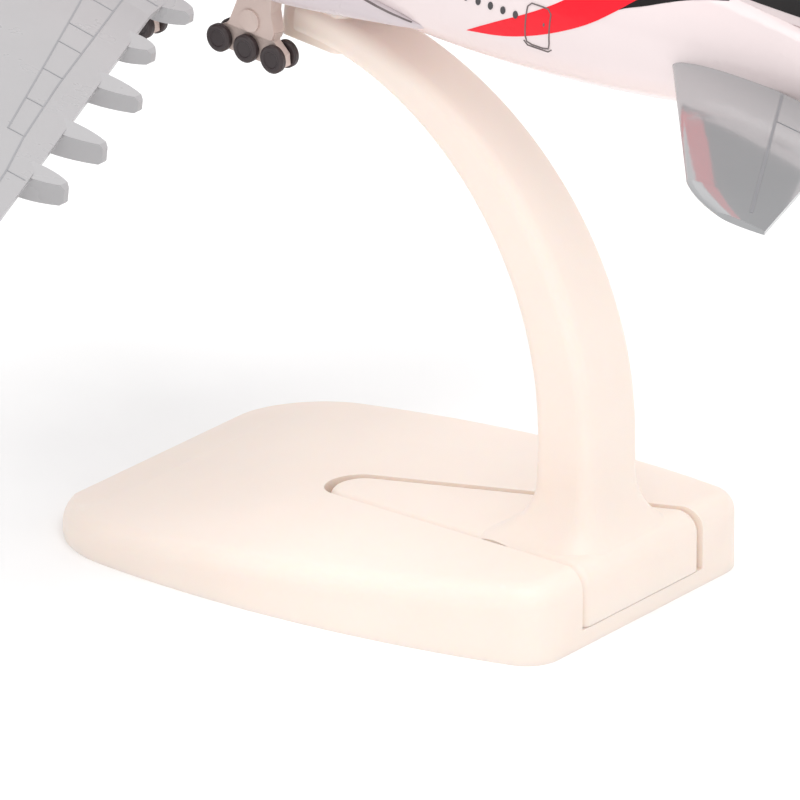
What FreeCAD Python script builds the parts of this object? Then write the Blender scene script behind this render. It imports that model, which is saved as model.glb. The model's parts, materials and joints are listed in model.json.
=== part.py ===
import FreeCAD, Part
import math
import os

# A desktop model of a four-engine double-deck airliner on a two-piece display stand.
# Millimetres.  +X runs aft, +Y to starboard, +Z up; the origin is on the desk under the base.

V = FreeCAD.Vector
ORIGIN = V(0, 0, 0)
FORE_AFT = V(1, 0, 0)
SIDEWAYS = V(0, 1, 0)
UPWARD = V(0, 0, 1)

# ---- stand base -----------------------------------------------------------------------
BASE_LENGTH = 80.0
BASE_FRONT_HALF = 26.3       # half width at the front corners, before the sides bow out
BASE_REAR_HALF = 21.8
BASE_SIDE_BOW = 4.9
BASE_FRONT_HEIGHT = 3.7
FRONT_ROUND_LENGTH = 8.5     # how far back the front edge's rounding reaches
FRONT_EDGE_HEIGHT = 1.1
BASE_REAR_HEIGHT = 10.6
BASE_SLOPE = (BASE_REAR_HEIGHT - BASE_FRONT_HEIGHT) / BASE_LENGTH
BASE_FRONT_CORNER = 16.0
BASE_REAR_CORNER = 5.0
BASE_TOP_ROUND = 2.8
POCKET_FLOOR = 2.3
POCKET_NOSE_X = -10.1        # front of the V-shaped pocket
POCKET_NOSE_RADIUS = 4.1
POCKET_HALF_ANGLE = 10.7     # degrees, each side of the V

# ---- stand arm ------------------------------------------------------------------------
TONGUE_GAP = 0.15            # sideways clearance between tongue and pocket
TONGUE_NOSE_GAP = 1.0
TONGUE_LIFT = 0.08           # clearance under the tongue
TONGUE_PORT_CORNER = 1.2     # rounding of the tongue's upright rear corner on the port side
ARM_CENTRE_X = -17.35        # centre of the arm's quarter circle
ARM_CENTRE_Z = 22.4
ARM_RADIUS = 48.3
ARM_END_ANGLE = 84.0
ARM_FOOT_WIDTH = 11.4
ARM_TOP_WIDTH = 9.2
ARM_FOOT_DEPTH = 8.6
ARM_TOP_DEPTH = 4.1
ARM_CORNER = 1.7
FOOT_FLARE_FRONT = 7.0       # how far the foot spreads on the tongue, each way
FOOT_FLARE_REAR = 2.8
FOOT_FLARE_SIDE = 4.0
FOOT_FLARE_HEIGHT = 10.0
FOOT_FLARE_POWER = 3.4
PEG_STATION = 110.5          # distance of the peg behind the nose
PEG_LENGTH = 8.0
PEG_WIDTH = 5.0
PEG_HEIGHT = 6.0
PEG_GAP = 0.1
PEG_CORNER = 0.8
SADDLE_LENGTH = 10.0
SADDLE_WIDTH = 7.6
SADDLE_GAP = 0.2
SADDLE_CORNER = 1.5

# ---- aircraft -------------------------------------------------------------------------
NOSE = V(-118.1, 0, 98.9)    # where the middle line's front end sits above the desk
PITCH = 7.0                  # degrees nose up
HULL_LENGTH = 200.0
HULL_HALF_WIDTH = 9.8
HULL_HALF_HEIGHT = 11.45
HULL_WALL = 1.2
NOSE_LENGTH = 29.0
NOSE_DROOP = -3.4            # height of the nose's tip
TAIL_START = 126.0
TAIL_END_HEIGHT = 3.7
TAIL_END_RADIUS = 1.5
FAIRING_BOTTOM = -12.9
# station, half width, bottom and top of the belly fairing, from its front to its aft tips
FAIRING_SECTIONS = ((46.0, 5.5, -10.8, -8.8), (50.0, 8.6, -12.1, -6.6),
                    (59.0, 10.3, FAIRING_BOTTOM, -5.2), (76.0, 10.5, FAIRING_BOTTOM, -4.8),
                    (92.0, 10.5, FAIRING_BOTTOM, -4.8), (107.0, 10.5, FAIRING_BOTTOM, -4.8),
                    (119.0, 10.1, -10.9, -5.2), (127.0, 9.0, -9.3, -6.4), (131.5, 7.8, -8.6, -7.7))

WING_HALF_SPAN = 108.6
WING_ROOT_Y = 7.6
WING_KINK_Y = 30.0
WING_ROOT_LEADING = 56.5
WING_LEADING_SLOPE = 0.72
WING_ROOT_TRAILING = 98.6
WING_INNER_TRAILING_SLOPE = 0.27
WING_OUTER_TRAILING_SLOPE = 0.472
WING_ROOT_HEIGHT = -9.6
WING_INNER_RISE = 0.026      # how fast each panel of the wing climbs towards the tip
WING_OUTER_RISE = 0.090
WING_TRAILING_EDGE = 0.5     # thickness of the blunt trailing edge
# distance from the middle, reach behind the trailing edge and depth of each flap-track fairing
TRACK_FAIRINGS = ((24.5, 3.9, 1.9), (39.1, 3.6, 2.0), (53.7, 6.2, 2.2), (70.5, 6.1, 2.7),
                  (85.5, 5.0, 2.7))
TRACK_HALF_WIDTH = 2.0
TRACK_TIP_HALF_WIDTH = 0.45

TAIL_ROOT_Y = 4.6
TAIL_TIP_Y = 43.0
TAIL_ROOT_LEADING = 166.4
TAIL_LEADING_SLOPE = 0.795
TAIL_ROOT_CHORD = 28.0
TAIL_TIP_CHORD = 11.3
TAIL_ROOT_HEIGHT = -0.4
TAIL_DIHEDRAL_SLOPE = 0.085
FIN_ROOT_LEADING = 150.0
FIN_ROOT_CHORD = 40.0
FIN_TIP_CHORD = 15.5
FIN_LEADING_SLOPE = 0.86
FIN_BOTTOM = 8.4
FIN_TOP = 48.5

ENGINE_SPANS = (41.0, 71.0)
ENGINE_FORWARD = 10.5        # how far the cowl's front is ahead of the wing's leading edge
ENGINE_BELOW = 5.4           # and how far its middle is below the wing
PYLON_WIDTH = 1.3
NACELLE_LENGTH = 14.5
NACELLE_RADIUS = 5.0
FAN_RADIUS = 4.05
FAN_BLADES = 16
BLADE_TURN = 38.0            # degrees out of the fan's plane

AXLE_RADIUS = 0.4
AXLE_CLEARANCE = 0.05
BODY_GEAR = dict(station=105.15, across=8.25, axles=3, pitch=4.35, top=-9.0, height=-19.2)
WING_GEAR = dict(station=89.7, across=12.9, axles=2, pitch=4.35, top=-6.6, height=-19.2)
LEG_HALF_THICKNESS = 0.65    # between the wheels
LEG_HEAD_HALF_THICKNESS = 1.1
NOSE_GEAR_HEIGHT = -19.0
WHEEL_RADIUS = 1.85
WHEEL_WIDTH = 1.05
WHEEL_INNER = 0.85           # from the leg's middle to a wheel's inner face
WHEEL_FACE = 0.3             # thickness of the closed outer face that hides the axle's end
NOSE_GEAR_STATION = 14.5
NOSE_WHEEL_RADIUS = 1.7
NOSE_WHEEL_WIDTH = 1.05
NOSE_WHEEL_INNER = 1.05


# ---- small helpers --------------------------------------------------------------------
def box(x, y, z):
    """A box between the low and high value given for each axis."""
    corner = V(x[0], y[0], z[0])
    return Part.makeBox(x[1] - x[0], y[1] - y[0], z[1] - z[0], corner)


def smooth_line(points):
    """One smooth edge through the points."""
    curve = Part.BSplineCurve()
    curve.interpolate(points)
    return curve.toShape()


def smooth_loop(points):
    """A closed smooth outline through the points."""
    curve = Part.BSplineCurve()
    curve.interpolate(Points=points, PeriodicFlag=True)
    return Part.Wire(curve.toShape())


def flat_face(points):
    """A flat face with straight sides."""
    return Part.Face(Part.makePolygon(points + points[:1]))


def round_edges(solid, radius, chosen):
    """Round every edge for which chosen(edge) is true."""
    return solid.makeFillet(radius, [edge for edge in solid.Edges if chosen(edge)])


def is_upright(edge):
    """True for a straight edge parallel to Z."""
    low, high = edge.Vertexes[0].Point, edge.Vertexes[-1].Point
    return abs(low.x - high.x) < 1e-4 and abs(low.y - high.y) < 1e-4 and abs(low.z - high.z) > 0.5


def mirrored(shape):
    """The same piece on the other side of the aircraft."""
    return shape.mirror(ORIGIN, SIDEWAYS)


def on_stand(shape):
    """Move an aircraft piece from its own level frame to its nose-up place on the stand."""
    placed = shape.copy()
    placed.rotate(ORIGIN, SIDEWAYS, PITCH)
    placed.translate(NOSE)
    return placed


def save(name, shape):
    """Write one node's STEP file."""
    shape.exportStep("parts/" + name + ".step")


# ---- stand ----------------------------------------------------------------------------
def base_top(x):
    """Height of the base's sloping top."""
    return BASE_FRONT_HEIGHT + BASE_SLOPE * (x + BASE_LENGTH / 2)


def base_plan():
    """The base seen from above: a long trapezoid whose sides bow outwards."""
    front, rear = -BASE_LENGTH / 2, BASE_LENGTH / 2
    middle = (BASE_FRONT_HALF + BASE_REAR_HALF) / 2 + BASE_SIDE_BOW
    edges = []
    for side in (-1, 1):
        start = V(front, side * BASE_FRONT_HALF, 0)
        end = V(rear, side * BASE_REAR_HALF, 0)
        edges.append(Part.Arc(start, V(0, side * middle, 0), end).toShape())
        edges.append(Part.makeLine(V(start.x, 0, 0), start))
        edges.append(Part.makeLine(V(end.x, 0, 0), end))
    return Part.Face(Part.Wire(Part.__sortEdges__(edges)))


def above_base_top(height):
    """Everything above the base's sloping top, up to the height given."""
    reach = BASE_LENGTH
    corners = [V(-reach, -reach, base_top(-reach)), V(reach, -reach, base_top(reach)),
               V(reach, -reach, height), V(-reach, -reach, height)]
    return flat_face(corners).extrude(V(0, 2 * reach, 0))


def front_rounding():
    """What is taken off the base's front so that its top curves down to a thin edge."""
    front = -BASE_LENGTH / 2
    round_end = front + FRONT_ROUND_LENGTH
    start = V(round_end, -BASE_LENGTH, base_top(round_end))
    end = V(front - 0.4, -BASE_LENGTH, FRONT_EDGE_HEIGHT)
    middle = V(front + 0.24 * FRONT_ROUND_LENGTH, -BASE_LENGTH, BASE_FRONT_HEIGHT - 0.45)
    shoulder = V(front + 0.6 * FRONT_ROUND_LENGTH, -BASE_LENGTH, BASE_FRONT_HEIGHT + 0.22)
    corner = V(end.x, end.y, start.z + 3)
    above = V(start.x, start.y, start.z + 3)
    edges = [smooth_line([start, shoulder, middle, end]), Part.makeLine(end, corner),
             Part.makeLine(corner, above), Part.makeLine(above, start)]
    return Part.Face(Part.Wire(edges)).extrude(V(0, 2 * BASE_LENGTH, 0))


def wedge(nose_x, widen, low, high, rear):
    """A V-shaped prism with a round nose, widened sideways, between two heights."""
    half_angle = math.radians(POCKET_HALF_ANGLE)
    radius = POCKET_NOSE_RADIUS + widen
    centre_x = nose_x + radius
    touch = V(centre_x - radius * math.sin(half_angle), radius * math.cos(half_angle), low)
    rear_half = touch.y + (rear - touch.x) * math.tan(half_angle)
    port = V(touch.x, -touch.y, low)
    edges = [Part.Arc(port, V(nose_x, 0, low), touch).toShape(),
             Part.makeLine(touch, V(rear, rear_half, low)),
             Part.makeLine(V(rear, rear_half, low), V(rear, -rear_half, low)),
             Part.makeLine(V(rear, -rear_half, low), port)]
    return Part.Face(Part.Wire(edges)).extrude(V(0, 0, high - low))


def base_slab():
    """The rounded slab, thin at the front, that the base and the tongue are both cut from."""
    slab = base_plan().extrude(V(0, 0, 2 * BASE_REAR_HEIGHT))
    front = [edge for edge in slab.Edges if is_upright(edge) and edge.CenterOfMass.x < 0]
    front = [edge for edge in front if abs(edge.CenterOfMass.y) > 1]
    slab = slab.makeFillet(BASE_FRONT_CORNER, front)
    slab = round_edges(slab, BASE_REAR_CORNER,
                       lambda edge: is_upright(edge) and edge.CenterOfMass.x > 30
                       and abs(edge.CenterOfMass.y) > 15)
    slab = slab.cut(above_base_top(3 * BASE_REAR_HEIGHT)).removeSplitter()
    top = max(slab.Faces, key=lambda face: face.CenterOfMass.z)
    return slab.makeFillet(BASE_TOP_ROUND, top.Edges).cut(front_rounding())


def stand_base():
    """The slab with the V pocket open at its rear."""
    past_rear = BASE_LENGTH / 2 + 1
    return base_slab().cut(wedge(POCKET_NOSE_X, 0, POCKET_FLOOR, 2 * BASE_REAR_HEIGHT, past_rear))


def tongue():
    """The wedge that fills the pocket, flush with the slab's top and rear."""
    past_rear = BASE_LENGTH / 2 + 1
    nose = POCKET_NOSE_X + TONGUE_NOSE_GAP
    low = POCKET_FLOOR + TONGUE_LIFT
    block = base_slab().common(wedge(nose, -TONGUE_GAP, low, 2 * BASE_REAR_HEIGHT, past_rear))
    return round_edges(block, TONGUE_PORT_CORNER, is_port_rear_corner)


def is_port_rear_corner(edge):
    """True for an upright edge at the base's rear, on the port side."""
    middle = edge.CenterOfMass
    return is_upright(edge) and middle.x > BASE_LENGTH / 2 - 1 and middle.y < 0


def rounded_frame(middle, across, width, depth, corner):
    """A rounded rectangle around a point: width along Y, depth along the direction across."""
    arcs = []
    for quarter, (side_y, side_d) in enumerate(((-1, -1), (1, -1), (1, 1), (-1, 1))):
        centre_y, centre_d = side_y * (width / 2 - corner), side_d * (depth / 2 - corner)
        trio = []
        for degrees in (180, 225, 270):
            turn = math.radians(degrees + 90 * quarter)
            y, d = centre_y + corner * math.cos(turn), centre_d + corner * math.sin(turn)
            trio.append(middle + SIDEWAYS * y + across * d)
        arcs.append(trio)
    edges = []
    for index, trio in enumerate(arcs):
        edges.append(Part.Arc(*trio).toShape())
        edges.append(Part.makeLine(trio[2], arcs[(index + 1) % 4][0]))
    return Part.Wire(edges)


def arm_section(angle):
    """The arm's section at an angle up its quarter circle, in degrees."""
    turn = math.radians(angle)
    outward = V(math.cos(turn), 0, math.sin(turn))
    middle = V(ARM_CENTRE_X, 0, ARM_CENTRE_Z) + outward * ARM_RADIUS
    rise = angle / ARM_END_ANGLE
    width = ARM_FOOT_WIDTH + (ARM_TOP_WIDTH - ARM_FOOT_WIDTH) * rise
    taper = math.sqrt(ARM_FOOT_DEPTH ** 2 - ARM_TOP_DEPTH ** 2) * math.cos(turn)
    depth = math.hypot(taper, ARM_TOP_DEPTH)
    return rounded_frame(middle, outward, width, depth, min(ARM_CORNER, 0.36 * depth))


def foot_section(part):
    """The arm's section at a part of the way up its flaring foot, level with the tongue's top."""
    flare = (1 - part) ** FOOT_FLARE_POWER
    x = ARM_CENTRE_X + ARM_RADIUS + (FOOT_FLARE_REAR - FOOT_FLARE_FRONT) / 2 * flare
    middle = V(x, 0, base_top(x) + FOOT_FLARE_HEIGHT * part)
    width = ARM_FOOT_WIDTH + 2 * FOOT_FLARE_SIDE * flare
    depth = ARM_FOOT_DEPTH + (FOOT_FLARE_REAR + FOOT_FLARE_FRONT) * flare
    return rounded_frame(middle, V(1, 0, BASE_SLOPE), width, depth, ARM_CORNER + 2.5 * flare)


def arm_foot():
    """The flaring foot, kept inside the tongue's outline."""
    sections = [foot_section(part) for part in (-0.06, 0, 0.05, 0.12, 0.22, 0.38, 0.65, 1)]
    outline = wedge(POCKET_NOSE_X + TONGUE_NOSE_GAP, -TONGUE_GAP, 0, ARM_CENTRE_Z, BASE_LENGTH / 2)
    return Part.makeLoft(sections, True, False).common(outline)


def arm_bow():
    """The quarter circle above the foot."""
    sections = [foot_section(1)]
    sections += [arm_section(ARM_END_ANGLE * part / 9) for part in range(10)]
    return Part.makeLoft(sections, True, False)


def peg():
    """The block that plugs into the aircraft's belly, and the saddle the belly sits on."""
    x = (PEG_STATION - PEG_LENGTH / 2, PEG_STATION + PEG_LENGTH / 2)
    y = (-PEG_WIDTH / 2, PEG_WIDTH / 2)
    block = box(x, y, (FAIRING_BOTTOM - 2, FAIRING_BOTTOM + PEG_HEIGHT))
    block = round_edges(block, PEG_CORNER, is_upright)
    x = (PEG_STATION - SADDLE_LENGTH / 2, PEG_STATION + SADDLE_LENGTH / 2)
    y = (-SADDLE_WIDTH / 2, SADDLE_WIDTH / 2)
    saddle = box(x, y, (FAIRING_BOTTOM - 5.5, FAIRING_BOTTOM - SADDLE_GAP))
    saddle = round_edges(saddle, SADDLE_CORNER, is_upright)
    return on_stand(block.fuse(saddle))


def stand_arm():
    """Tongue, foot, bow and peg as one moulding."""
    return tongue().fuse(arm_foot()).fuse(arm_bow()).fuse(peg())


# ---- hull -----------------------------------------------------------------------------
def ease(part, power, root):
    """A rounded step from 0 to 1: steep at the start, level at the end."""
    part = min(max(part, 0.0), 1.0)
    return (1 - (1 - part) ** power) ** (1 / root)


def hull_limits(station):
    """Half width, bottom and top of the hull at a distance behind the nose."""
    nose = min(station / NOSE_LENGTH, 1.0)
    width = HULL_HALF_WIDTH * ease(nose, 2.2, 1.9)
    top = NOSE_DROOP + (HULL_HALF_HEIGHT - NOSE_DROOP) * ease(nose, 2.0, 1.55)
    bottom = NOSE_DROOP - (HULL_HALF_HEIGHT + NOSE_DROOP) * ease(nose * 1.35, 2.4, 2.0)
    tail = max(0.0, (station - TAIL_START) / (HULL_LENGTH - TAIL_START))
    width -= (HULL_HALF_WIDTH - TAIL_END_RADIUS) * tail ** 1.75
    top -= (HULL_HALF_HEIGHT - TAIL_END_HEIGHT - TAIL_END_RADIUS) * tail ** 2.6
    bottom += (HULL_HALF_HEIGHT + TAIL_END_HEIGHT - TAIL_END_RADIUS) * tail ** 2.05
    return width, bottom, top


def oval(station, width, bottom, top):
    """A closed smooth egg-shaped outline across the hull, fuller below than above."""
    count = 16
    points = []
    for index in range(count):
        angle = 2 * math.pi * index / count
        fullness = 1 - 0.06 * math.cos(angle)
        height = (top + bottom) / 2 + (top - bottom) / 2 * math.cos(angle)
        points.append(V(station, width * fullness * math.sin(angle), height))
    return smooth_loop(points)


def hull_body(inset):
    """The hull's closed shape, shrunk by the inset all round."""
    nose_stations = [0.12, 0.9, 2.6, 5.5, 9.5, 15.0, 22.0]
    barrel_stations = [NOSE_LENGTH + (TAIL_START - NOSE_LENGTH) * part / 8 for part in range(9)]
    tail_stations = [134.0, 146.0, 158.0, 170.0, 182.0, 192.0, HULL_LENGTH]
    stations = nose_stations + barrel_stations + tail_stations
    sections = []
    for station in stations:
        width, bottom, top = hull_limits(station)
        if width < inset + 1.0 and inset > 0:
            continue
        sections.append(oval(station, width - inset, bottom + inset, top - inset))
    return Part.makeLoft(sections, True, False)


def belly_form():
    """The outside of the belly fairing, before the hull is taken out of it."""
    return Part.makeLoft([belly_section(*section) for section in FAIRING_SECTIONS], True, False)


def belly_section(station, width, bottom, top):
    """One outline across the fairing: a flat-bottomed tray with round lower corners."""
    power = 3.2
    count = 16
    middle, half_height = (top + bottom) / 2, (top - bottom) / 2
    points = []
    for index in range(count):
        angle = 2 * math.pi * (index + 0.5) / count
        across, height = math.sin(angle), math.cos(angle)
        y = width * math.copysign(abs(across) ** (2 / power), across)
        z = middle + half_height * math.copysign(abs(height) ** (2 / power), height)
        points.append(V(station, y, z))
    return smooth_loop(points)


def socket_block(grow):
    """The block inside the hull that the peg's socket is sunk into."""
    half_length, half_width = PEG_LENGTH / 2 + 1.6 + grow, PEG_WIDTH / 2 + 1.5 + grow
    return box((PEG_STATION - half_length, PEG_STATION + half_length), (-half_width, half_width),
               (FAIRING_BOTTOM + 1.0 - grow, FAIRING_BOTTOM + PEG_HEIGHT + 1.8 + grow))


def socket_hole():
    """The socket itself, open downwards."""
    half_length, half_width = PEG_LENGTH / 2 + PEG_GAP, PEG_WIDTH / 2 + PEG_GAP
    hole = box((PEG_STATION - half_length, PEG_STATION + half_length), (-half_width, half_width),
               (FAIRING_BOTTOM - 5.0, FAIRING_BOTTOM + PEG_HEIGHT + 0.3))
    return round_edges(hole, PEG_CORNER, is_upright)


# ---- wings and tail -------------------------------------------------------------------
def aerofoil(leading, chord, thickness, trailing_edge, stretch=FORE_AFT, thick=UPWARD):
    """A closed aerofoil outline: leading point, chord, greatest thickness, blunt trailing edge."""
    fractions = (1.0, 0.75, 0.5, 0.3, 0.15, 0.06, 0.015)
    upper, lower = [], []
    for part in fractions:
        series = 1.4845 * math.sqrt(part) - 0.63 * part - 1.758 * part ** 2
        series += 1.4215 * part ** 3 - 0.518 * part ** 4
        half = series * thickness + part * trailing_edge / 2
        point = leading + stretch * (chord * part)
        upper.append(point + thick * half)
        lower.append(point - thick * half)
    closing = Part.makeLine(lower[0], upper[0])
    return Part.Wire([smooth_line(upper + [leading] + lower[::-1]), closing])


def wing_leading(y):
    """Distance of the wing's leading edge behind the nose."""
    return WING_ROOT_LEADING + (y - WING_ROOT_Y) * WING_LEADING_SLOPE


def wing_trailing(y):
    """Distance of the wing's trailing edge behind the nose, swept less inside the kink."""
    inner = min(y, WING_KINK_Y) - WING_ROOT_Y
    outer = max(y - WING_KINK_Y, 0)
    return WING_ROOT_TRAILING + inner * WING_INNER_TRAILING_SLOPE + outer * WING_OUTER_TRAILING_SLOPE


def wing_height(y):
    """Height of the wing's middle surface."""
    inner = min(y, WING_KINK_Y) - WING_ROOT_Y
    outer = max(y - WING_KINK_Y, 0)
    return WING_ROOT_HEIGHT + inner * WING_INNER_RISE + outer * WING_OUTER_RISE


def wing_section(y):
    """The wing's aerofoil at a distance from the middle, nose tilted up towards the root."""
    chord = wing_trailing(y) - wing_leading(y)
    twist = math.radians(2.5 * (1 - y / WING_HALF_SPAN))
    stretch = V(math.cos(twist), 0, -math.sin(twist))
    thick = V(math.sin(twist), 0, math.cos(twist))
    leading = V(wing_leading(y), y, wing_height(y)) + UPWARD * chord * math.sin(twist)
    thickness = chord * (0.125 - 0.035 * y / WING_HALF_SPAN)
    return aerofoil(leading, chord, thickness, WING_TRAILING_EDGE, stretch, thick)


def wing_blade():
    """The bare wing, in an inner and an outer panel."""
    inner = Part.makeLoft([wing_section(WING_ROOT_Y), wing_section(WING_KINK_Y)], True, True)
    outer = Part.makeLoft([wing_section(WING_KINK_Y), wing_section(WING_HALF_SPAN)], True, True)
    return inner.fuse(outer)


def track_side_view(y, back, top, reach, depth):
    """A flap-track fairing seen from the side: curved keel, level top and a blunt end."""
    front, tip, low = back - 2.4 * reach, back + reach, top - depth
    keel = smooth_line([V(front, y, top - 0.6), V(back - reach, y, low - 0.2), V(back, y, low - 0.3),
                        V(tip - 0.4, y, low)])
    corners = [V(tip - 0.4, y, low), V(tip, y, low + 0.4), V(tip, y, top - 0.5), V(tip - 0.5, y, top),
               V(front, y, top), V(front, y, top - 0.6)]
    face = Part.Face(Part.Wire([keel] + Part.makePolygon(corners).Edges))
    face.translate(V(0, -TRACK_HALF_WIDTH - 1, 0))
    return face.extrude(V(0, 2 * TRACK_HALF_WIDTH + 2, 0))


def track_plan_view(y, back, top, reach, depth):
    """A flap-track fairing seen from above: widest at the trailing edge, closing to a thin end."""
    level = top - depth - 1
    widths = ((back - 2.4 * reach, 0.4), (back - reach, 0.9 * TRACK_HALF_WIDTH),
              (back, TRACK_HALF_WIDTH), (back + reach, TRACK_TIP_HALF_WIDTH))
    port = [V(x, y - half, level) for x, half in widths]
    starboard = [V(x, y + half, level) for x, half in widths]
    edges = [smooth_line(port), smooth_line(starboard), Part.makeLine(port[0], starboard[0]),
             Part.makeLine(port[-1], starboard[-1])]
    return Part.Face(Part.Wire(Part.__sortEdges__(edges))).extrude(V(0, 0, depth + 2))


def track_fairing(y, reach, depth):
    """A flap-track fairing: level top, deep blunt end, and sides that close towards the tip."""
    back, top = wing_trailing(y), wing_height(y) + WING_TRAILING_EDGE / 2
    side_view = track_side_view(y, back, top, reach, depth)
    return side_view.common(track_plan_view(y, back, top, reach, depth))


def tip_fence():
    """The small arrow-shaped fence on the wing's tip."""
    y = WING_HALF_SPAN
    front, back, level = wing_leading(y), wing_trailing(y), wing_height(y)
    corners = [V(front + 1, y, level), V(front + 7.5, y, level + 3.2), V(back + 1.6, y, level + 3.2),
               V(back + 0.4, y, level), V(back + 1.6, y, level - 3.2), V(front + 7.5, y, level - 3.2)]
    fence = flat_face(corners).extrude(V(0, 0.9, 0))
    fence.translate(V(0, -0.1, 0))
    return fence


def wing():
    """The starboard wing with its fairings and tip fence."""
    shape = wing_blade()
    for fairing in TRACK_FAIRINGS:
        shape = shape.fuse(track_fairing(*fairing))
    return shape.fuse(tip_fence())


def tailplane():
    """The starboard tailplane."""
    sections = []
    for part in (0.0, 0.86, 0.955, 1.0):
        y = TAIL_ROOT_Y + (TAIL_TIP_Y - TAIL_ROOT_Y) * part
        chord = TAIL_ROOT_CHORD + (TAIL_TIP_CHORD - TAIL_ROOT_CHORD) * part
        leading = TAIL_ROOT_LEADING + (y - TAIL_ROOT_Y) * TAIL_LEADING_SLOPE
        rounding = max(0.0, (part - 0.86) / 0.14) ** 2 * 4.0
        height = TAIL_ROOT_HEIGHT + (y - TAIL_ROOT_Y) * TAIL_DIHEDRAL_SLOPE
        thickness = (chord - rounding) * 0.105
        sections.append(aerofoil(V(leading + rounding, y, height), chord - rounding, thickness, 0.5))
    root = Part.makeLoft(sections[:2], True, True)
    tip = Part.makeLoft(sections[1:], True, False)
    return root.fuse(tip)


def fin():
    """The upright tail fin."""
    sections = []
    for part in (0.0, 0.94, 1.0):
        height = FIN_BOTTOM + (FIN_TOP - FIN_BOTTOM) * part
        chord = FIN_ROOT_CHORD + (FIN_TIP_CHORD - FIN_ROOT_CHORD) * part
        rounding = 3.0 if part == 1.0 else 0.0
        leading = FIN_ROOT_LEADING + (height - FIN_BOTTOM) * FIN_LEADING_SLOPE + rounding
        thickness = (chord - rounding) * 0.1
        sections.append(aerofoil(V(leading, 0, height), chord - rounding, thickness, 0.5,
                                 FORE_AFT, SIDEWAYS))
    lower = Part.makeLoft(sections[:2], True, True)
    upper = Part.makeLoft(sections[1:], True, True)
    return lower.fuse(upper)


# ---- engines --------------------------------------------------------------------------
def revolved(profile):
    """Turn a closed list of edges in the X-Z plane about the X axis."""
    return Part.Face(Part.Wire(profile)).revolve(ORIGIN, FORE_AFT, 360)


def profile_curve(points):
    """One smooth edge through (distance, radius) points."""
    return smooth_line([V(x, 0, r) for x, r in points])


def nacelle_shell():
    """The open engine cowl: rounded lip, bulged outside, straight inner duct."""
    rim = NACELLE_RADIUS
    outer = profile_curve([(0, rim - 0.75), (0.5, rim - 0.35), (2.5, rim), (7, rim - 0.05),
                           (NACELLE_LENGTH, rim - 1.3)])
    back = Part.makeLine(V(NACELLE_LENGTH, 0, rim - 1.3), V(NACELLE_LENGTH, 0, rim - 1.75))
    inner = profile_curve([(NACELLE_LENGTH, rim - 1.75), (8, FAN_RADIUS), (3, FAN_RADIUS),
                           (0.6, rim - 1.1), (0, rim - 0.75)])
    return revolved([outer, back, inner])


def engine_place(y):
    """Front centre of the engine at a distance from the middle."""
    return V(wing_leading(y) - ENGINE_FORWARD, y, wing_height(y) - ENGINE_BELOW)


def nacelle(y, wing_shape):
    """Cowl and pylon of one starboard engine, fitted to the wing's underside."""
    start = engine_place(y)
    rim = NACELLE_RADIUS
    corners = [V(3.5, 0, rim - 0.6), V(8.5, 0, rim + 1.4), V(16, 0, rim + 2.2), V(25, 0, rim + 1.2),
               V(23, 0, rim - 0.9), V(13.5, 0, rim - 1.7)]
    pylon = flat_face(corners).extrude(V(0, PYLON_WIDTH, 0))
    pylon.translate(V(0, -PYLON_WIDTH / 2, 0))
    duct = Part.makeCylinder(FAN_RADIUS, NACELLE_LENGTH, ORIGIN, FORE_AFT)
    shape = nacelle_shell().fuse(pylon.cut(duct))
    shape.translate(start)
    return shape.cut(wing_shape)


def fan_blade():
    """One flat blade, turned out of the fan's plane."""
    blade = box((-0.75, 0.75), (-0.14, 0.14), (0.7, FAN_RADIUS - 0.03))
    blade.rotate(ORIGIN, UPWARD, BLADE_TURN)
    return blade


def engine_core():
    """Fan with spinner, core body and the exhaust cone behind it."""
    spinner = profile_curve([(1.2, 0.0), (1.5, 0.45), (2.4, 0.95), (3.2, 1.15)])
    closing = [Part.makeLine(V(3.2, 0, 1.15), V(3.2, 0, 0)),
               Part.makeLine(V(3.2, 0, 0), V(1.2, 0, 0))]
    core = revolved([spinner] + closing)
    profile = [(3.2, 0), (3.2, 1.15), (4.3, 1.15), (4.3, FAN_RADIUS), (5.0, FAN_RADIUS), (6.0, 2.9),
               (11.0, 2.7), (NACELLE_LENGTH + 2.2, 1.7), (NACELLE_LENGTH + 2.2, 1.1),
               (NACELLE_LENGTH + 4.6, 0.25), (NACELLE_LENGTH + 4.6, 0)]
    points = [V(x, 0, r) for x, r in profile]
    body = flat_face(points).revolve(ORIGIN, FORE_AFT, 360)
    core = core.fuse(body)
    for index in range(FAN_BLADES):
        blade = fan_blade()
        blade.translate(V(3.6, 0, 0))
        blade.rotate(ORIGIN, FORE_AFT, 360.0 * index / FAN_BLADES)
        core = core.fuse(blade)
    return core


# ---- landing gear ---------------------------------------------------------------------
def cross_bore(station, y, height):
    """The hole an axle runs in."""
    return Part.makeCylinder(AXLE_RADIUS + AXLE_CLEARANCE, 12, V(station, y - 6, height), SIDEWAYS)


def bogie_stations(gear):
    """Distances behind the nose of a bogie's axles."""
    first = gear["station"] - (gear["axles"] - 1) * gear["pitch"] / 2
    return [first + index * gear["pitch"] for index in range(gear["axles"])]


def upright_plate(corners, y, half_thickness):
    """A flat plate in the X-Z plane, centred on y."""
    points = [V(x, y - half_thickness, z) for x, z in corners]
    return flat_face(points).extrude(V(0, 2 * half_thickness, 0))


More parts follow.
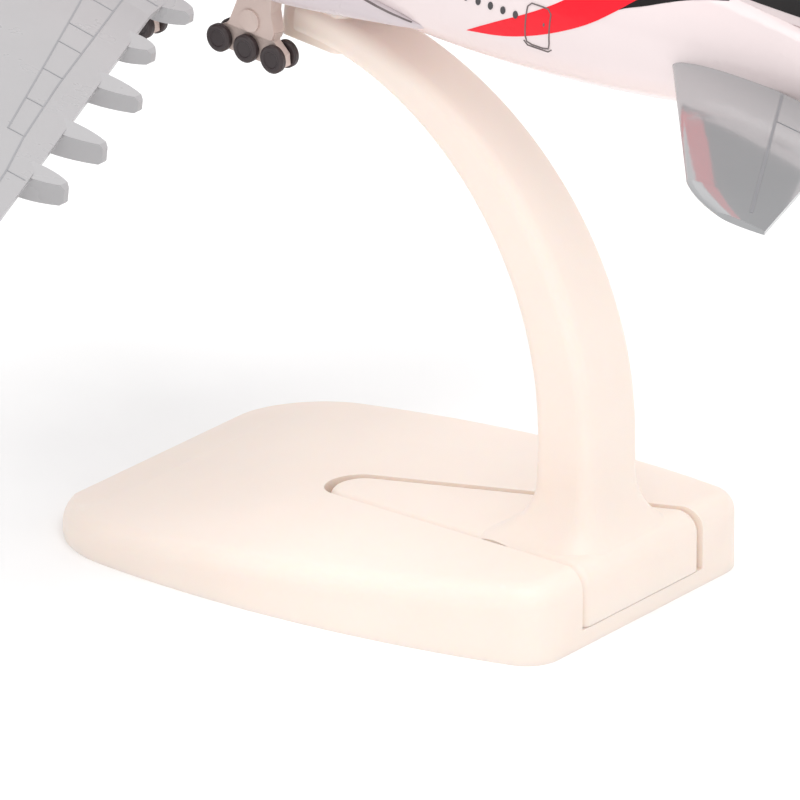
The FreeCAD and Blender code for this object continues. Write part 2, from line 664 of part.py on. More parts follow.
def bogie_leg(gear):
    """Starboard leg: a thick head that spreads into the thin plate the axles run in."""
    x, y, low = gear["station"], gear["across"], gear["height"]
    stations = bogie_stations(gear)
    front, rear = stations[0] - 1.6, stations[-1] + 1.4
    crown = low + WHEEL_RADIUS + 0.35
    head_front, head_rear = max(front + 2.9, x - 3.6), min(rear - 1.2, x + 3.9)
    spread = [(front, low - 0.9), (front - 0.2, low + 0.5), (head_front - 1.0, crown - 0.2),
              (head_front, crown + 0.9), (head_rear, crown + 0.9), (head_rear - 0.2, crown - 0.2),
              (rear - 0.3, low + 0.6), (rear, low - 0.9), (rear - 0.7, low - 1.4),
              (front + 0.6, low - 1.4)]
    head = [(head_front - 0.4, crown), (head_front + 0.6, crown + 3.4), (head_front + 0.9, gear["top"]),
            (head_rear - 1.0, gear["top"]), (head_rear - 0.8, crown + 3.6), (head_rear, crown + 1.1),
            (head_rear - 0.3, crown)]
    leg = upright_plate(spread, y, LEG_HALF_THICKNESS)
    leg = leg.fuse(upright_plate(head, y, LEG_HEAD_HALF_THICKNESS))
    boss_half = LEG_HEAD_HALF_THICKNESS + 0.25
    boss = Part.makeCylinder(1.5, 2 * boss_half, V(x, y - boss_half, crown + 1.6), SIDEWAYS)
    leg = leg.fuse(boss)
    for station in stations:
        leg = leg.cut(cross_bore(station, y, low))
    return leg


def nose_leg():
    """Round strut with a cross hub for the two nose wheels."""
    x = NOSE_GEAR_STATION
    height = NOSE_GEAR_HEIGHT
    strut = Part.makeCylinder(0.75, 12.5, V(x, 0, height), UPWARD)
    collar = Part.makeCylinder(1.15, 4.5, V(x, 0, height + 4.0), UPWARD)
    hub = Part.makeCylinder(0.95, 1.6, V(x, -0.8, height), SIDEWAYS)
    return strut.fuse(collar).fuse(hub).cut(cross_bore(x, 0, height))


def axle(station, y, height, half_length):
    """One steel pin across a bogie."""
    start = V(station, y - half_length, height)
    return Part.makeCylinder(AXLE_RADIUS, 2 * half_length, start, SIDEWAYS)


def wheel(radius, width):
    """One wheel about Y: chamfered tyre, a shallow ring on its outer face, and a blind axle hole."""
    ring = 0.62 * radius
    face = width - WHEEL_FACE
    profile = [V(0, 0, AXLE_RADIUS), V(0, 0, radius - 0.2), V(0, 0.2, radius),
               V(0, width - 0.25, radius), V(0, width, radius - 0.25), V(0, width, ring),
               V(0, width - 0.1, ring - 0.12), V(0, width - 0.1, 0), V(0, face, 0),
               V(0, face, AXLE_RADIUS)]
    return flat_face(profile).revolve(ORIGIN, SIDEWAYS, 360)


def wheel_pair(station, y, height, radius, width, inner):
    """The two wheels on one axle."""
    outer_side = wheel(radius, width)
    outer_side.translate(V(station, y + inner, height))
    inner_side = wheel(radius, width).mirror(ORIGIN, SIDEWAYS)
    inner_side.translate(V(station, y - inner, height))
    return Part.makeCompound([outer_side, inner_side])


# ---- the whole model ------------------------------------------------------------------
def save_stand():
    """The two mouldings of the stand."""
    save("stand_base", stand_base())
    save("stand_arm", stand_arm())


def save_both_sides(name, shape):
    """Write a starboard piece and its port twin."""
    save(name + "_starboard", on_stand(shape))
    save(name + "_port", on_stand(mirrored(shape)))


def save_axle_set(name, station, y, height, radius, width, inner):
    """Write one axle and its pair of wheels."""
    save(name + "_axle", on_stand(axle(station, y, height, inner + width - WHEEL_FACE)))
    save(name + "_wheels", on_stand(wheel_pair(station, y, height, radius, width, inner)))


def largest(shape):
    """The biggest solid of a result, without slivers."""
    return max(shape.Solids, key=lambda solid: solid.Volume)


def save_hull(hull, blades, stabiliser, upright):
    """The hollow hull, cut for its neighbours and split down the middle."""
    shell = hull.cut(hull_body(HULL_WALL)).cut(socket_block(0.05)).cut(upright)
    shell = shell.cut(blades).cut(stabiliser).cut(mirrored(stabiliser))
    for side, across in (("starboard", (0, 40)), ("port", (-40, 0))):
        half = shell.common(box((-5, 240), across, (-40, 60)))
        save("hull_" + side + "_half", on_stand(largest(half)))


def save_belly(hull, belly, blades):
    """The fairing with its peg socket."""
    tray = belly.cut(hull).fuse(socket_block(0)).cut(socket_hole()).cut(blades)
    save("belly_fairing", on_stand(largest(tray)))


def save_engines(wings):
    """Cowl and core of all four engines."""
    for label, y in zip(("inner", "outer"), ENGINE_SPANS):
        save_both_sides("nacelle_" + label, nacelle(y, wings))
        core = engine_core()
        core.translate(engine_place(y))
        save_both_sides("engine_core_" + label, core)


def save_gear_legs(hull, belly, wings):
    """The five legs, fitted to whatever they hang from."""
    for name, gear in (("body_gear", BODY_GEAR), ("wing_gear", WING_GEAR)):
        leg = bogie_leg(gear).cut(belly).cut(wings)
        save_both_sides(name + "_leg", largest(leg))
    save("nose_gear_leg", on_stand(nose_leg().cut(hull)))


def save_airframe():
    """Everything that lifts off the stand in one piece, apart from the wheels."""
    hull, belly = hull_body(0), belly_form()
    wings, blade = wing(), wing_blade()
    blades = blade.fuse(mirrored(blade))
    stabiliser, upright = tailplane(), fin()
    save_hull(hull, blades, stabiliser, upright)
    save_belly(hull, belly, blades)
    save_both_sides("wing", wings)
    save_both_sides("tailplane", stabiliser)
    save("fin", on_stand(upright))
    save_engines(wings)
    save_gear_legs(hull, belly, wings)


def save_wheels():
    """Every axle with its wheels, in all five gears."""
    for name, gear in (("body_gear", BODY_GEAR), ("wing_gear", WING_GEAR)):
        for side, sign in (("starboard", 1), ("port", -1)):
            for number, station in enumerate(bogie_stations(gear), 1):
                label = name + "_" + side + "_" + str(number)
                save_axle_set(label, station, sign * gear["across"], gear["height"],
                              WHEEL_RADIUS, WHEEL_WIDTH, WHEEL_INNER)
    save_axle_set("nose_gear", NOSE_GEAR_STATION, 0, NOSE_GEAR_HEIGHT,
                  NOSE_WHEEL_RADIUS, NOSE_WHEEL_WIDTH, NOSE_WHEEL_INNER)


os.makedirs("parts", exist_ok=True)
save_stand()
save_airframe()
save_wheels()
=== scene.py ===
import json
import math

import bpy
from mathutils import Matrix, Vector
from mathutils.bvhtree import BVHTree


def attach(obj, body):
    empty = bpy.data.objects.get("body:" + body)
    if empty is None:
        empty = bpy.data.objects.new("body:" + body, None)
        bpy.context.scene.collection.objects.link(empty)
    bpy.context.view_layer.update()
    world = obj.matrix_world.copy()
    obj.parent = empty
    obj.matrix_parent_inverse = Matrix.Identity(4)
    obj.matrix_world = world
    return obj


# A desktop airliner model on a cream plastic stand.  Metres in the scene; the lengths below are
# millimetres.  Stations run aft from the nose, heights run up from the hull's middle line.

MM = 0.001

# ---- camera and light -----------------------------------------------------------------
CAMERA_AZIMUTH = 37.49
CAMERA_ELEVATION = 22.40
CAMERA_DISTANCE = 1500.0
CAMERA_LENS = 523.8
AIM_RIGHT = 0.93
AIM_UP = 18.45
WORLD_STRENGTH = 0.78
FLOOR_SIZE = 6000.0
LAMP_DISTANCE = 1100.0
# each soft lamp's azimuth, elevation, size and power in watts
LAMPS = {"key_light": (60.0, 76.0, 900.0, 7.2),
         "side_light": (60.0, 25.0, 800.0, 0.3),
         "rim_light": (200.0, 55.0, 900.0, 1.0)}

# ---- painted trim ---------------------------------------------------------------------
PAINT_LIFT = 0.05            # how far painted trim stands off the surface below it
INK_LIFT = 0.10              # the same for lines and windows, which may cross the painted sweep
PAINT_THICKNESS = 0.12
STEP = 0.8                   # about the length of a trim face
OUTSIDE = 80.0               # trim is laid along rays from this far out to the side
OVERHEAD = 90.0              # or from this far above the hull's middle line
HULL_HALF_HEIGHT = 11.45     # from the hull's middle line to its top
WINDOW_PITCH = 1.86
WINDOW_WIDTH = 0.72
WINDOW_HEIGHT = 1.05
LOWER_DECK = -0.6            # height of each deck's row of windows
UPPER_DECK = 5.9
DOOR_WIDTH = 3.5
DOOR_HEIGHT = 5.7
DOOR_CORNER = 0.7
DOOR_CLEARANCE = 0.75 * DOOR_WIDTH      # no window's middle is closer to a door's middle
HANDLE_PLACE = (0.9, 0.6)    # aft of and above a door's middle
HANDLE_SIZE = (0.25, 0.5)
# the sill line, from the middle of a door's lower edge
DOOR_SILL = ((-2.0, 0.3), (-1.5, -0.3), (1.5, -0.3), (2.0, 0.2))
DOOR_LINE_WIDTH = 0.16
SILL_LINE_WIDTH = 0.13
LOWER_DOORS = (24.0, 47.0, 84.0, 117.0, 148.6)
UPPER_DOORS = (36.0, 76.0, 124.0)
UPPER_DOOR_SHARE = 0.82      # height of an upper door as a share of a lower one's
DOOR_DROP = 0.6              # how far a door's middle is below its row of windows
# each deck's height, the stations of its first and last windows, and its doors
DECKS = ((LOWER_DECK, 29.0, 145.3, LOWER_DOORS), (UPPER_DECK, 41.0, 133.0, UPPER_DOORS))
# the cockpit panes on each side: station, height and width
COCKPIT_PANES = ((4.6, 0.6, 1.5), (6.5, 1.0, 1.5), (8.5, 1.2, 1.6))
COCKPIT_PANE_HEIGHT = 1.4
# painted shade just inside the belly fairing's upper edge, where it meets the hull: stations and
# heights
BELLY_SHADE = ((100.5, -6.05), (114.0, -6.05), (119.0, -6.2), (123.0, -6.65), (127.0, -7.25),
              (129.0, -7.68))
BELLY_SHADE_POINTS = 45
BELLY_SHADE_WIDTH = 0.16

# edges of the red sweep, of the black shade behind it, and of both on the fin: stations and heights
# The points in the photograph's view were picked on it and turned into places on the hull by a helper
# script, through the fitted camera; the others are guesses.
SWEEP_LOWER = ((137.8, -5.5), (143.1, -4.4), (147.6, -2.8), (152.0, -0.7), (156.0, 1.7), (159.3, 4.4),
               (161.3, 6.2), (164.2, 8.2), (166.6, 9.5))
SWEEP_UPPER = ((137.8, -5.5), (140.1, -4.0), (143.2, -2.1), (146.1, -0.4), (148.8, 1.3), (151.6, 3.3),
               (154.0, 5.6), (156.2, 8.0), (158.2, 10.1), (158.4, 10.22))
SHADE_LOWER = ((159.3, 4.4), (160.3, 4.9), (162.6, 5.8), (164.9, 6.8), (167.3, 7.7), (170.0, 8.4),
               (172.3, 8.8))
SHADE_UPPER = ((159.3, 4.4), (161.3, 6.2), (163.0, 7.4), (164.8, 8.5), (166.6, 9.5), (169.0, 9.3),
               (172.3, 8.9))
FIN_RED_FRONT = ((156.3, 10.4), (166.0, 22.0), (175.5, 34.0), (186.8, 47.6))
FIN_RED_REAR = ((168.7, 10.0), (177.0, 22.0), (185.0, 34.0), (192.5, 47.6))
FIN_BLACK_REAR = ((188.5, 9.6), (188.6, 22.0), (190.2, 34.0), (192.9, 47.6))
FIN_BLACK_FRONT = ((168.0, 9.6), (177.2, 22.0), (185.2, 34.0), (192.7, 47.6))

# wing and tail, seen from above: the trailing edge's station and slopes, and the panel lines, which
# are painted shade in moulded grooves
WING_ROOT = 7.6
WING_KINK = 30.0
WING_ROOT_TRAILING = 98.6
WING_INNER_SLOPE = 0.27
WING_OUTER_SLOPE = 0.472
LINE_WIDTH = 0.22
ELEVATOR_LINE_WIDTH = 0.374
# distance from the middle, and how far ahead of the trailing edge (from and to, for the ends)
# Up to about 79 mm from the middle these and the elevator's lines were measured as the sweep was,
# then rounded or moved a little.
FLAP_LINE = ((14.0, 4.6), (30.0, 4.6), (61.0, 4.7), (79.0, 4.2), (89.0, 3.4), (102.0, 3.0))
SPOILER_LINE = ((34.5, 9.4), (59.0, 7.9), (78.5, 6.8))
SPOILER_ENDS = ((34.5, 4.6, 9.4), (43.9, 4.7, 8.8), (50.0, 4.7, 8.5), (59.0, 4.7, 7.9),
                (68.6, 4.5, 7.3), (78.5, 4.2, 6.8))
FLAP_ENDS = ((27.0, 0.5, 4.6), (89.0, 0.5, 3.4), (102.0, 0.5, 3.0))
# station, and distance from the middle
ELEVATOR_LINE = ((183.6, 5.2), (203.9, 40.0))
ELEVATOR_SPLIT = ((188.3, 13.0), (194.5, 12.8))

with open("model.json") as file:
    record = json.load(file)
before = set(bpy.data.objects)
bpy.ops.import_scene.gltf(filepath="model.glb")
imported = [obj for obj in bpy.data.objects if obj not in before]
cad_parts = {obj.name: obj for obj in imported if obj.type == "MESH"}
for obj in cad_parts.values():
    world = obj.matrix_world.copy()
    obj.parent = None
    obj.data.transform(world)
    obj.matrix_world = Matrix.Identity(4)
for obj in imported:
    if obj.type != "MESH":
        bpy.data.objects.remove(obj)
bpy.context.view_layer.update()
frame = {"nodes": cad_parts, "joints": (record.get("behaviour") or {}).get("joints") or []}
NODES = frame["nodes"]
SIDES = {-1: "port", 1: "starboard"}


# ---- the aircraft's own directions, taken from the record and the hull -----------------
def joint_axis(name):
    """The axis of one of the record's joints."""
    axes = [joint["axis"] for joint in frame["joints"] if joint["name"] == name]
    return Vector(axes[0]).normalized()


ABOVE = joint_axis("aircraft_lift_off")
AFT = Vector((ABOVE.z, 0, -ABOVE.x))
STARBOARD = Vector((0, 1, 0))
HULL_MESHES = [NODES[f"hull_{side}_half"].data for side in SIDES.values()]
HULL_POINTS = [vertex.co for mesh in HULL_MESHES for vertex in mesh.vertices]
NOSE = min(point.dot(AFT) for point in HULL_POINTS)
MIDDLE = max(point.dot(ABOVE) for point in HULL_POINTS) - HULL_HALF_HEIGHT * MM


def place(station, across, height):
    """A point of the aircraft in the scene, from millimetres aft, to starboard and up."""
    return AFT * (NOSE + station * MM) + STARBOARD * (across * MM) + ABOVE * (MIDDLE + height * MM)


# ---- painted trim ----------------------------------------------------------------------
def surface_of(node):
    """A search tree of one CAD node's surface."""
    mesh = NODES[node].data
    return BVHTree.FromPolygons([v.co for v in mesh.vertices], [p.vertices for p in mesh.polygons])


def from_side(node, side):
    """Returns a function that lays (station, height) on a node, seen from one side."""
    tree = surface_of(node)
    inwards = STARBOARD * -side

    def lay(station, height):
        return tree.ray_cast(place(station, side * OUTSIDE, height), inwards), -inwards
    return lay


def from_above(node, side):
    """Returns a function that lays (station, distance from the middle) on a node, seen from above."""
    tree = surface_of(node)

    def lay(station, across):
        return tree.ray_cast(place(station, side * across, OVERHEAD), -ABOVE), ABOVE
    return lay


def smooth(points, count):
    """Points spaced evenly along a smooth curve through the points given."""
    padded = (points[0],) + tuple(points) + (points[-1],)
    fine = []
    for before, start, end, after in zip(padded, padded[1:], padded[2:], padded[3:]):
        for part in (0.0, 0.25, 0.5, 0.75):
            fine.append(tuple(0.5 * (2 * b + (c - a) * part + (2 * a - 5 * b + 4 * c - d) * part ** 2
                                     + (3 * b - a - 3 * c + d) * part ** 3)
                              for a, b, c, d in zip(before, start, end, after)))
    fine.append(tuple(points[-1]))
    return spaced(fine, count)


def spaced(points, count):
    """The same line, cut at evenly spaced places."""
    lengths = [0.0]
    for start, end in zip(points, points[1:]):
        lengths.append(lengths[-1] + math.dist(start, end))
    result = []
    index = 0
    for number in range(count):
        target = lengths[-1] * number / (count - 1)
        while index < len(points) - 2 and lengths[index + 1] < target:
            index += 1
        share = (target - lengths[index]) / max(lengths[index + 1] - lengths[index], 1e-9)
        start, end = points[index], points[index + 1]
        result.append(tuple(a + (b - a) * share for a, b in zip(start, end)))
    return result


def line_length(points):
    """Length of a line through the points."""
    return sum(math.dist(start, end) for start, end in zip(points, points[1:]))


def rounded_rectangle(centre, width, height, corner):
    """A closed line round a rectangle with rounded corners."""
    points = []
    for degrees in range(0, 360, 15):
        turn = math.radians(degrees + 7.5)
        side_x = math.copysign(width / 2 - corner, math.cos(turn))
        side_y = math.copysign(height / 2 - corner, math.sin(turn))
        points.append((centre[0] + side_x + corner * math.cos(turn),
                       centre[1] + side_y + corner * math.sin(turn)))
    return points + points[:1]


class Trim:
    """Thin painted patches gathered into one closed mesh that lies on the model."""

    def __init__(self, lift=PAINT_LIFT):
        self.lift = lift
        self.points = []
        self.faces = []

    def add(self, rows, lay, closed=False):
        """Lay a grid of flat points on a surface and join it with faces."""
        laid = []
        for row in rows:
            line = []
            for flat in row:
                (hit, normal, _, _), outward = lay(*flat)
                normal = normal if normal.dot(outward) > 0 else -normal
                line.append(hit + normal * (self.lift * MM))
            laid.append(line)
        _, outward = lay(*rows[0][0])
        facing = (laid[0][1] - laid[0][0]).cross(laid[-1][0] - laid[0][0])
        if facing.dot(outward) < 0:
            laid.reverse()
        first = len(self.points)
        across = len(laid[0])
        self.points += [point for line in laid for point in line]
        for row in range(len(laid) - 1):
            for column in range(across - (0 if closed else 1)):
                corners = ((row, column), (row, (column + 1) % across),
                           (row + 1, (column + 1) % across), (row + 1, column))
                self.faces.append([first + r * across + c for r, c in corners])

    def line(self, points, width, lay, closed=False):
        """A painted line of even width."""
        count = max(3, round(line_length(points) / STEP) + 1)
        middle = spaced(points, count)
        if closed:
            middle = middle[:-1]
        rows = ([], [])
        for index, (a, b) in enumerate(middle):
            before, after = middle[index - 1], middle[(index + 1) % len(middle)]
            if not closed:
                before = middle[max(index - 1, 0)]
                after = middle[min(index + 1, len(middle) - 1)]
            length = max(math.dist(before, after), 1e-9)
            sideways = ((before[1] - after[1]) / length, (after[0] - before[0]) / length)
            for row, sign in zip(rows, (-0.5, 0.5)):
                row.append((a + sign * width * sideways[0], b + sign * width * sideways[1]))
        self.add(rows, lay, closed)

    def band(self, lower, upper, lay):
        """The painted area between two curves."""
        count = round(max(line_length(lower), line_length(upper)) / STEP) + 1
        low, high = smooth(lower, count), smooth(upper, count)
        widest = max(math.dist(a, b) for a, b in zip(low, high))
        across = max(2, round(widest / STEP) + 1)
        rows = []
        for number in range(across):
            share = number / (across - 1)
            rows.append([tuple(a + (b - a) * share for a, b in zip(*pair)) for pair in zip(low, high)])
        self.add(rows, lay)

    def pane(self, centre, width, height, lay):
        """A small painted oval."""
        rows = []
        for v in (-1.0, -0.5, 0.0, 0.5, 1.0):
            row = []
            for u in (-1.0, -0.5, 0.0, 0.5, 1.0):
                x = u * math.sqrt(1 - v * v / 2) * width / 2
                y = v * math.sqrt(1 - u * u / 2) * height / 2
                row.append((centre[0] + x, centre[1] + y))
            rows.append(row)
        self.add(rows, lay)

    def make(self, name, body, material):
        """The finished piece, riding its body."""
        mesh = bpy.data.meshes.new(name)
        mesh.from_pydata(self.points, [], self.faces)
        mesh.validate()
        piece = bpy.data.objects.new(name, mesh)
        bpy.context.scene.collection.objects.link(piece)
        thicken = piece.modifiers.new("thickness", "SOLIDIFY")
        thicken.thickness = PAINT_THICKNESS * MM
        thicken.offset = -1
        mesh.materials.append(material)
        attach(piece, body)
        return piece


def hull_windows(side, material):
    """Both decks' rows of cabin windows on one side, broken at the doors, and the cockpit panes."""
    lay = from_side(f"hull_{SIDES[side]}_half", side)
    trim = Trim(INK_LIFT)
    for height, first, last, doors in DECKS:
        count = int((last - first) / WINDOW_PITCH)
        for number in range(count + 1):
            station = last - number * WINDOW_PITCH
            if all(abs(station - door) > DOOR_CLEARANCE for door in doors):
                trim.pane((station, height), WINDOW_WIDTH, WINDOW_HEIGHT, lay)
    for station, height, width in COCKPIT_PANES:
        trim.pane((station, height), width, COCKPIT_PANE_HEIGHT, lay)
    trim.make(f"windows_{SIDES[side]}", "aircraft", material)


def hull_doors(side, material):
    """Thin outlines of the cabin doors on one side, each with a sill line and a handle."""
    lay = from_side(f"hull_{SIDES[side]}_half", side)
    trim = Trim(INK_LIFT)
    for deck, share, doors in ((LOWER_DECK, 1.0, LOWER_DOORS),
                               (UPPER_DECK, UPPER_DOOR_SHARE, UPPER_DOORS)):
        height, tall = deck - DOOR_DROP, DOOR_HEIGHT * share
        for station in doors:
            outline = rounded_rectangle((station, height), DOOR_WIDTH, tall, DOOR_CORNER)
            trim.line(outline, DOOR_LINE_WIDTH, lay, closed=True)
            handle = (station + HANDLE_PLACE[0], height + HANDLE_PLACE[1])
            trim.pane(handle, *HANDLE_SIZE, lay)
            low = height - tall / 2
            sill = [(station + along, low + rise) for along, rise in DOOR_SILL]
            trim.line(sill, SILL_LINE_WIDTH, lay)
    trim.make(f"door_lines_{SIDES[side]}", "aircraft", material)


def belly_shade(side, material):
    """Painted shade along the belly fairing's upper edge on one side, where the fairing meets the
    hull.
    """
    lay = from_side("belly_fairing", side)
    trim = Trim()
    trim.line(smooth(BELLY_SHADE, BELLY_SHADE_POINTS), BELLY_SHADE_WIDTH, lay)
    trim.make(f"belly_shade_{SIDES[side]}", "aircraft", material)


def hull_sweep(side, red, black):
    """The red and black sweep along the rear hull on one side, outlined as in the photograph."""
    lay = from_side(f"hull_{SIDES[side]}_half", side)
    for name, lower, upper, paint in (("red", SWEEP_LOWER, SWEEP_UPPER, red),
                                      ("black", SHADE_LOWER, SHADE_UPPER, black)):
        trim = Trim()
        trim.band(lower, upper, lay)
        trim.make(f"hull_sweep_{name}_{SIDES[side]}", "aircraft", paint)


def fin_sweep(side, red, black):
    """The sweep carried up one side of the fin, which the photograph doesn't show."""
    lay = from_side("fin", side)
    for name, front, rear, paint in (("red", FIN_RED_FRONT, FIN_RED_REAR, red),
                                     ("black", FIN_BLACK_FRONT, FIN_BLACK_REAR, black)):
        trim = Trim()
        trim.band(front, rear, lay)
        trim.make(f"fin_sweep_{name}_{SIDES[side]}", "aircraft", paint)


def wing_trailing(across):
    """Station of the wing's trailing edge at a distance from the middle."""
    inner = min(across, WING_KINK) - WING_ROOT
    outer = max(across - WING_KINK, 0.0)
    return WING_ROOT_TRAILING + WING_INNER_SLOPE * inner + WING_OUTER_SLOPE * outer


def ahead_of_trailing(across, distance):
    """A point on the wing, that far ahead of its trailing edge."""
    return (wing_trailing(across) - distance, across)


def wing_groove_shade(side, material):
    """Painted shade along the moulded lines of the flaps, spoilers and aileron on one wing."""
    lay = from_above(f"wing_{SIDES[side]}", side)
    trim = Trim()
    trim.line([ahead_of_trailing(*point) for point in FLAP_LINE], LINE_WIDTH, lay)
    trim.line([ahead_of_trailing(*point) for point in SPOILER_LINE], LINE_WIDTH, lay)
    for across, back, front in SPOILER_ENDS + FLAP_ENDS:
        ends = [ahead_of_trailing(across, front), ahead_of_trailing(across, back)]
        trim.line(ends, LINE_WIDTH, lay)
    trim.make(f"wing_groove_shade_{SIDES[side]}", "aircraft", material)


def tail_groove_shade(side, material):
    """Painted shade along the moulded lines of the elevator on one tailplane."""
    lay = from_above(f"tailplane_{SIDES[side]}", side)
    trim = Trim()
    trim.line(ELEVATOR_LINE, ELEVATOR_LINE_WIDTH, lay)
    trim.line(ELEVATOR_SPLIT, LINE_WIDTH, lay)
    trim.make(f"tail_groove_shade_{SIDES[side]}", "aircraft", material)


# ---- materials -------------------------------------------------------------------------
PATCH_SHADE = 0.975          # the darkest patches of a colour, as a share of it
PATCH_GRAIN = 75.0           # grains are in cells per metre
WEAR_GRAIN = 160.0


class Finish:
    """A procedural material being put together."""

    def __init__(self, name, colour, roughness):
        self.material = bpy.data.materials.new(name)
        self.material.use_nodes = True
        self.tree = self.material.node_tree
        self.shader = self.tree.nodes["Principled BSDF"]
        self.coordinates = self.tree.nodes.new("ShaderNodeTexCoord").outputs["Object"]
        self.colour = None
        self.tint(colour)
        self.wear(roughness)

    def noise(self, scale, detail=3.0):
        """A grain of a real size: scale is in cells per metre."""
        noise = self.tree.nodes.new("ShaderNodeTexNoise")
        noise.inputs["Scale"].default_value = scale
        noise.inputs["Detail"].default_value = detail
        self.tree.links.new(self.coordinates, noise.inputs["Vector"])
        return noise.outputs["Fac"]

    def spread(self, value, low, high, start=0.3, end=0.7):
        """Stretch a grain onto a range."""
        node = self.tree.nodes.new("ShaderNodeMapRange")
        node.inputs["From Min"].default_value = start
        node.inputs["From Max"].default_value = end
        node.inputs["To Min"].default_value = low
        node.inputs["To Max"].default_value = high
        self.tree.links.new(value, node.inputs["Value"])
        return node.outputs["Result"]

    def tint(self, colour):
        """The base colour, a little darker in faint patches."""
        mix = self.tree.nodes.new("ShaderNodeMix")
        mix.data_type = "RGBA"
        mix.inputs[6].default_value = (*[channel * PATCH_SHADE for channel in colour], 1)
        mix.inputs[7].default_value = (*colour, 1)
        self.tree.links.new(self.spread(self.noise(PATCH_GRAIN), 0.0, 1.0), mix.inputs[0])
        self.colour = mix.outputs[2]
        self.tree.links.new(self.colour, self.shader.inputs["Base Color"])

    def wear(self, roughness):
        """Polish that varies with handling."""
        patches = self.noise(WEAR_GRAIN, 4.0)
        value = self.spread(patches, roughness * 0.85, roughness * 1.2)
        self.tree.links.new(value, self.shader.inputs["Roughness"])

    def edges(self, colour):
        """Rub the sharp edges towards another colour."""
        geometry = self.tree.nodes.new("ShaderNodeNewGeometry")
        sharp = self.spread(geometry.outputs["Pointiness"], 0.0, 0.6, 0.54, 0.64)
        mix = self.tree.nodes.new("ShaderNodeMix")
        mix.data_type = "RGBA"
        mix.inputs[7].default_value = (*colour, 1)
        self.tree.links.new(sharp, mix.inputs[0])
        self.tree.links.new(self.colour, mix.inputs[6])
        self.tree.links.new(mix.outputs[2], self.shader.inputs["Base Color"])

    def relief(self, scale, depth):
        """A fine moulded or painted texture, depth in millimetres."""
        bump = self.tree.nodes.new("ShaderNodeBump")
        bump.inputs["Distance"].default_value = depth * MM
        bump.inputs["Strength"].default_value = 1.0
        self.tree.links.new(self.noise(scale), bump.inputs["Height"])
        self.tree.links.new(bump.outputs["Normal"], self.shader.inputs["Normal"])

    def set(self, **values):
        """Constant values on the shader's own sockets."""
        for name, value in values.items():
            self.shader.inputs[name.replace("_", " ")].default_value = value


def stand_plastic():
    """Satin cream moulding, a little translucent."""
    finish = Finish("cream_plastic", (0.985, 0.845, 0.76), 0.42)
    finish.edges((0.99, 0.87, 0.79))
    finish.relief(3500.0, 0.006)
    finish.set(Subsurface_Weight=0.25, Subsurface_Radius=(1.0, 0.6, 0.4), Subsurface_Scale=0.002)
    return finish.material


def hull_paint():
    """Gloss white paint of the hull, fin and cowls."""
    finish = Finish("gloss_white_paint", (0.87, 0.755, 0.755), 0.2)
    finish.relief(1800.0, 0.003)
    finish.set(Coat_Weight=0.4, Coat_Roughness=0.08)
    return finish.material


def red_paint():
    """The sweep's red."""
    finish = Finish("red_paint", (0.93, 0.010, 0.027), 0.3)
    finish.relief(1800.0, 0.003)
    finish.set(Specular_IOR_Level=0.3)
    return finish.material


def black_paint():
    """The sweep's black."""
    finish = Finish("black_paint", (0.010, 0.008, 0.008), 0.28)
    finish.relief(1800.0, 0.003)
    finish.set(Specular_IOR_Level=0.3)
    return finish.material


def grey_plastic(name, colour, roughness, coat):
    """Gloss grey moulding of the fairing, wings and tailplanes."""
    finish = Finish(name, colour, roughness)
    finish.relief(2400.0, 0.004)
    finish.set(Coat_Weight=coat, Coat_Roughness=0.4 * roughness)
    return finish.material


def ink_and_painted_shade(name, colour):
    """Matt ink of the drawn lines and windows; also the painted shade in moulded grooves and along the
    belly fairing.
    """
    finish = Finish(name, colour, 0.4)
    finish.relief(2400.0, 0.003)
    return finish.material


def gear_plastic():
    """Beige plastic of the gear legs."""
    finish = Finish("beige_gear_plastic", (0.60, 0.475, 0.43), 0.45)
    finish.edges((0.72, 0.61, 0.56))
    finish.relief(3000.0, 0.006)
    return finish.material


def tyre_rubber():
    """Dark wheels, rubbed lighter at their edges."""
    finish = Finish("dark_tyre", (0.026, 0.015, 0.017), 0.5)
    finish.edges((0.08, 0.06, 0.06))
    finish.relief(4500.0, 0.010)
    return finish.material


def engine_metal():
    """Dull silver of the fans and cores."""
    finish = Finish("engine_silver", (0.32, 0.32, 0.34), 0.35)
    finish.relief(3000.0, 0.004)
    finish.set(Metallic=0.75)
    return finish.material


def axle_steel():
    """Bright steel of the axle pins."""
    finish = Finish("axle_steel", (0.6, 0.6, 0.61), 0.3)
    finish.relief(6000.0, 0.002)
    finish.set(Metallic=1.0)
    return finish.material


def dress_cad_nodes():
    """Give every CAD node the material of the record's slot it is filled with."""
    materials = {"stand_plastic": stand_plastic(),
                 "hull_paint": hull_paint(),
                 "belly_grey": grey_plastic("belly_grey_plastic", (0.65, 0.575, 0.60), 0.3, 0.2),
                 "wing_grey": grey_plastic("wing_grey_plastic", (0.395, 0.386, 0.394), 0.3, 0.2),
                 "tail_grey": grey_plastic("tail_grey_plastic", (0.335, 0.337, 0.345), 0.1, 0.55),
                 "engine_metal": engine_metal(),
                 "gear_plastic": gear_plastic(),
                 "axle_steel": axle_steel(),
                 "tyre_rubber": tyre_rubber()}
    materials["fin_paint"] = materials["hull_paint"]
    materials["nacelle_paint"] = materials["hull_paint"]
    for node in NODES.values():
        for holder in node.material_slots:
            name = holder.material.name.split(".")[0]
            holder.material = materials[name]


# ---- studio ----------------------------------------------------------------------------
def direction(azimuth, elevation):
    """The direction from the object towards a viewpoint."""
    turn, rise = math.radians(azimuth), math.radians(elevation)
    return Vector((math.sin(turn) * math.cos(rise), -math.cos(turn) * math.cos(rise), math.sin(rise)))


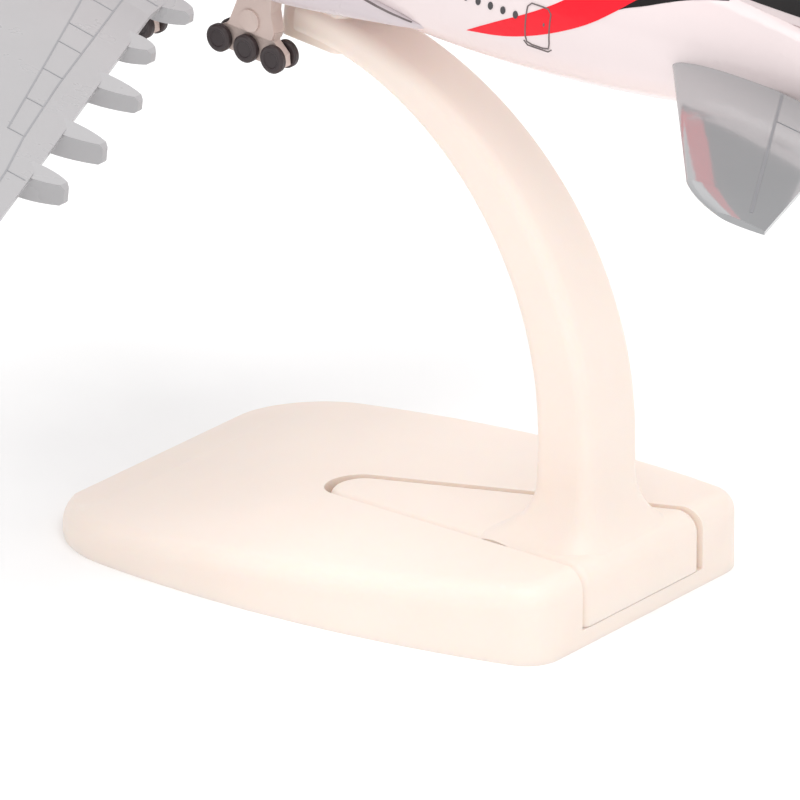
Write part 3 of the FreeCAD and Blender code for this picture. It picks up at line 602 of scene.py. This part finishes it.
def camera():
    """A long lens at the photograph's viewing angle."""
    back = direction(CAMERA_AZIMUTH, CAMERA_ELEVATION)
    turn = math.radians(CAMERA_AZIMUTH)
    right = Vector((math.cos(turn), math.sin(turn), 0))
    above = back.cross(right)
    target = (right * AIM_RIGHT + above * AIM_UP) * MM
    data = bpy.data.cameras.new("photo_camera")
    data.lens = CAMERA_LENS
    data.sensor_width = 36.0
    data.clip_end = 20.0
    holder = bpy.data.objects.new("photo_camera", data)
    bpy.context.scene.collection.objects.link(holder)
    holder.location = back * (CAMERA_DISTANCE * MM)
    holder.rotation_mode = "QUATERNION"
    holder.rotation_quaternion = (target - holder.location).to_track_quat("-Z", "Y")
    bpy.context.scene.camera = holder


def floor():
    """A plain pale floor."""
    half = FLOOR_SIZE * MM / 2
    mesh = bpy.data.meshes.new("floor")
    corners = [(-half, -half, 0), (half, -half, 0), (half, half, 0), (-half, half, 0)]
    mesh.from_pydata(corners, [], [(0, 1, 2, 3)])
    finish = Finish("pale_floor", (0.97, 0.97, 0.97), 0.8)
    finish.set(Emission_Color=(1, 1, 1, 1), Emission_Strength=0.05)
    mesh.materials.append(finish.material)
    holder = bpy.data.objects.new("floor", mesh)
    bpy.context.scene.collection.objects.link(holder)


def soft_light(name, azimuth, elevation, size, power):
    """A large square lamp turned towards the object."""
    data = bpy.data.lights.new(name, "AREA")
    data.size = size * MM
    data.energy = power
    holder = bpy.data.objects.new(name, data)
    bpy.context.scene.collection.objects.link(holder)
    away = direction(azimuth, elevation)
    holder.location = away * (LAMP_DISTANCE * MM)
    holder.rotation_mode = "QUATERNION"
    holder.rotation_quaternion = (-away).to_track_quat("-Z", "Y")


def studio():
    """White room, three soft lamps, floor and camera."""
    world = bpy.data.worlds.new("white_room")
    world.use_nodes = True
    world.node_tree.nodes["Background"].inputs["Color"].default_value = (1, 1, 1, 1)
    world.node_tree.nodes["Background"].inputs["Strength"].default_value = WORLD_STRENGTH
    bpy.context.scene.world = world
    bpy.context.scene.view_settings.view_transform = "Standard"
    for name, lamp in LAMPS.items():
        soft_light(name, *lamp)
    floor()
    camera()


# ---- build -----------------------------------------------------------------------------
def build():
    """Materials, painted trim on both sides, and the studio."""
    dress_cad_nodes()
    red, black = red_paint(), black_paint()
    glass = ink_and_painted_shade("dark_window", (0.06, 0.055, 0.06))
    # door ink: the printed door outlines, and also the painted shade along the belly fairing's upper
    # edge
    ink_and_shade = ink_and_painted_shade("door_ink_and_belly_shade", (0.16, 0.13, 0.13))
    # painted shade in the moulded grooves of the wings and tailplanes
    wing_shade = ink_and_painted_shade("wing_groove_painted_shade", (0.29, 0.29, 0.305))
    tail_shade = ink_and_painted_shade("tail_groove_painted_shade", (0.25, 0.255, 0.27))
    for side in SIDES:
        belly_shade(side, ink_and_shade)
        hull_sweep(side, red, black)
        fin_sweep(side, red, black)
        hull_windows(side, glass)
        hull_doors(side, ink_and_shade)
        wing_groove_shade(side, wing_shade)
        tail_groove_shade(side, tail_shade)
    studio()


build()
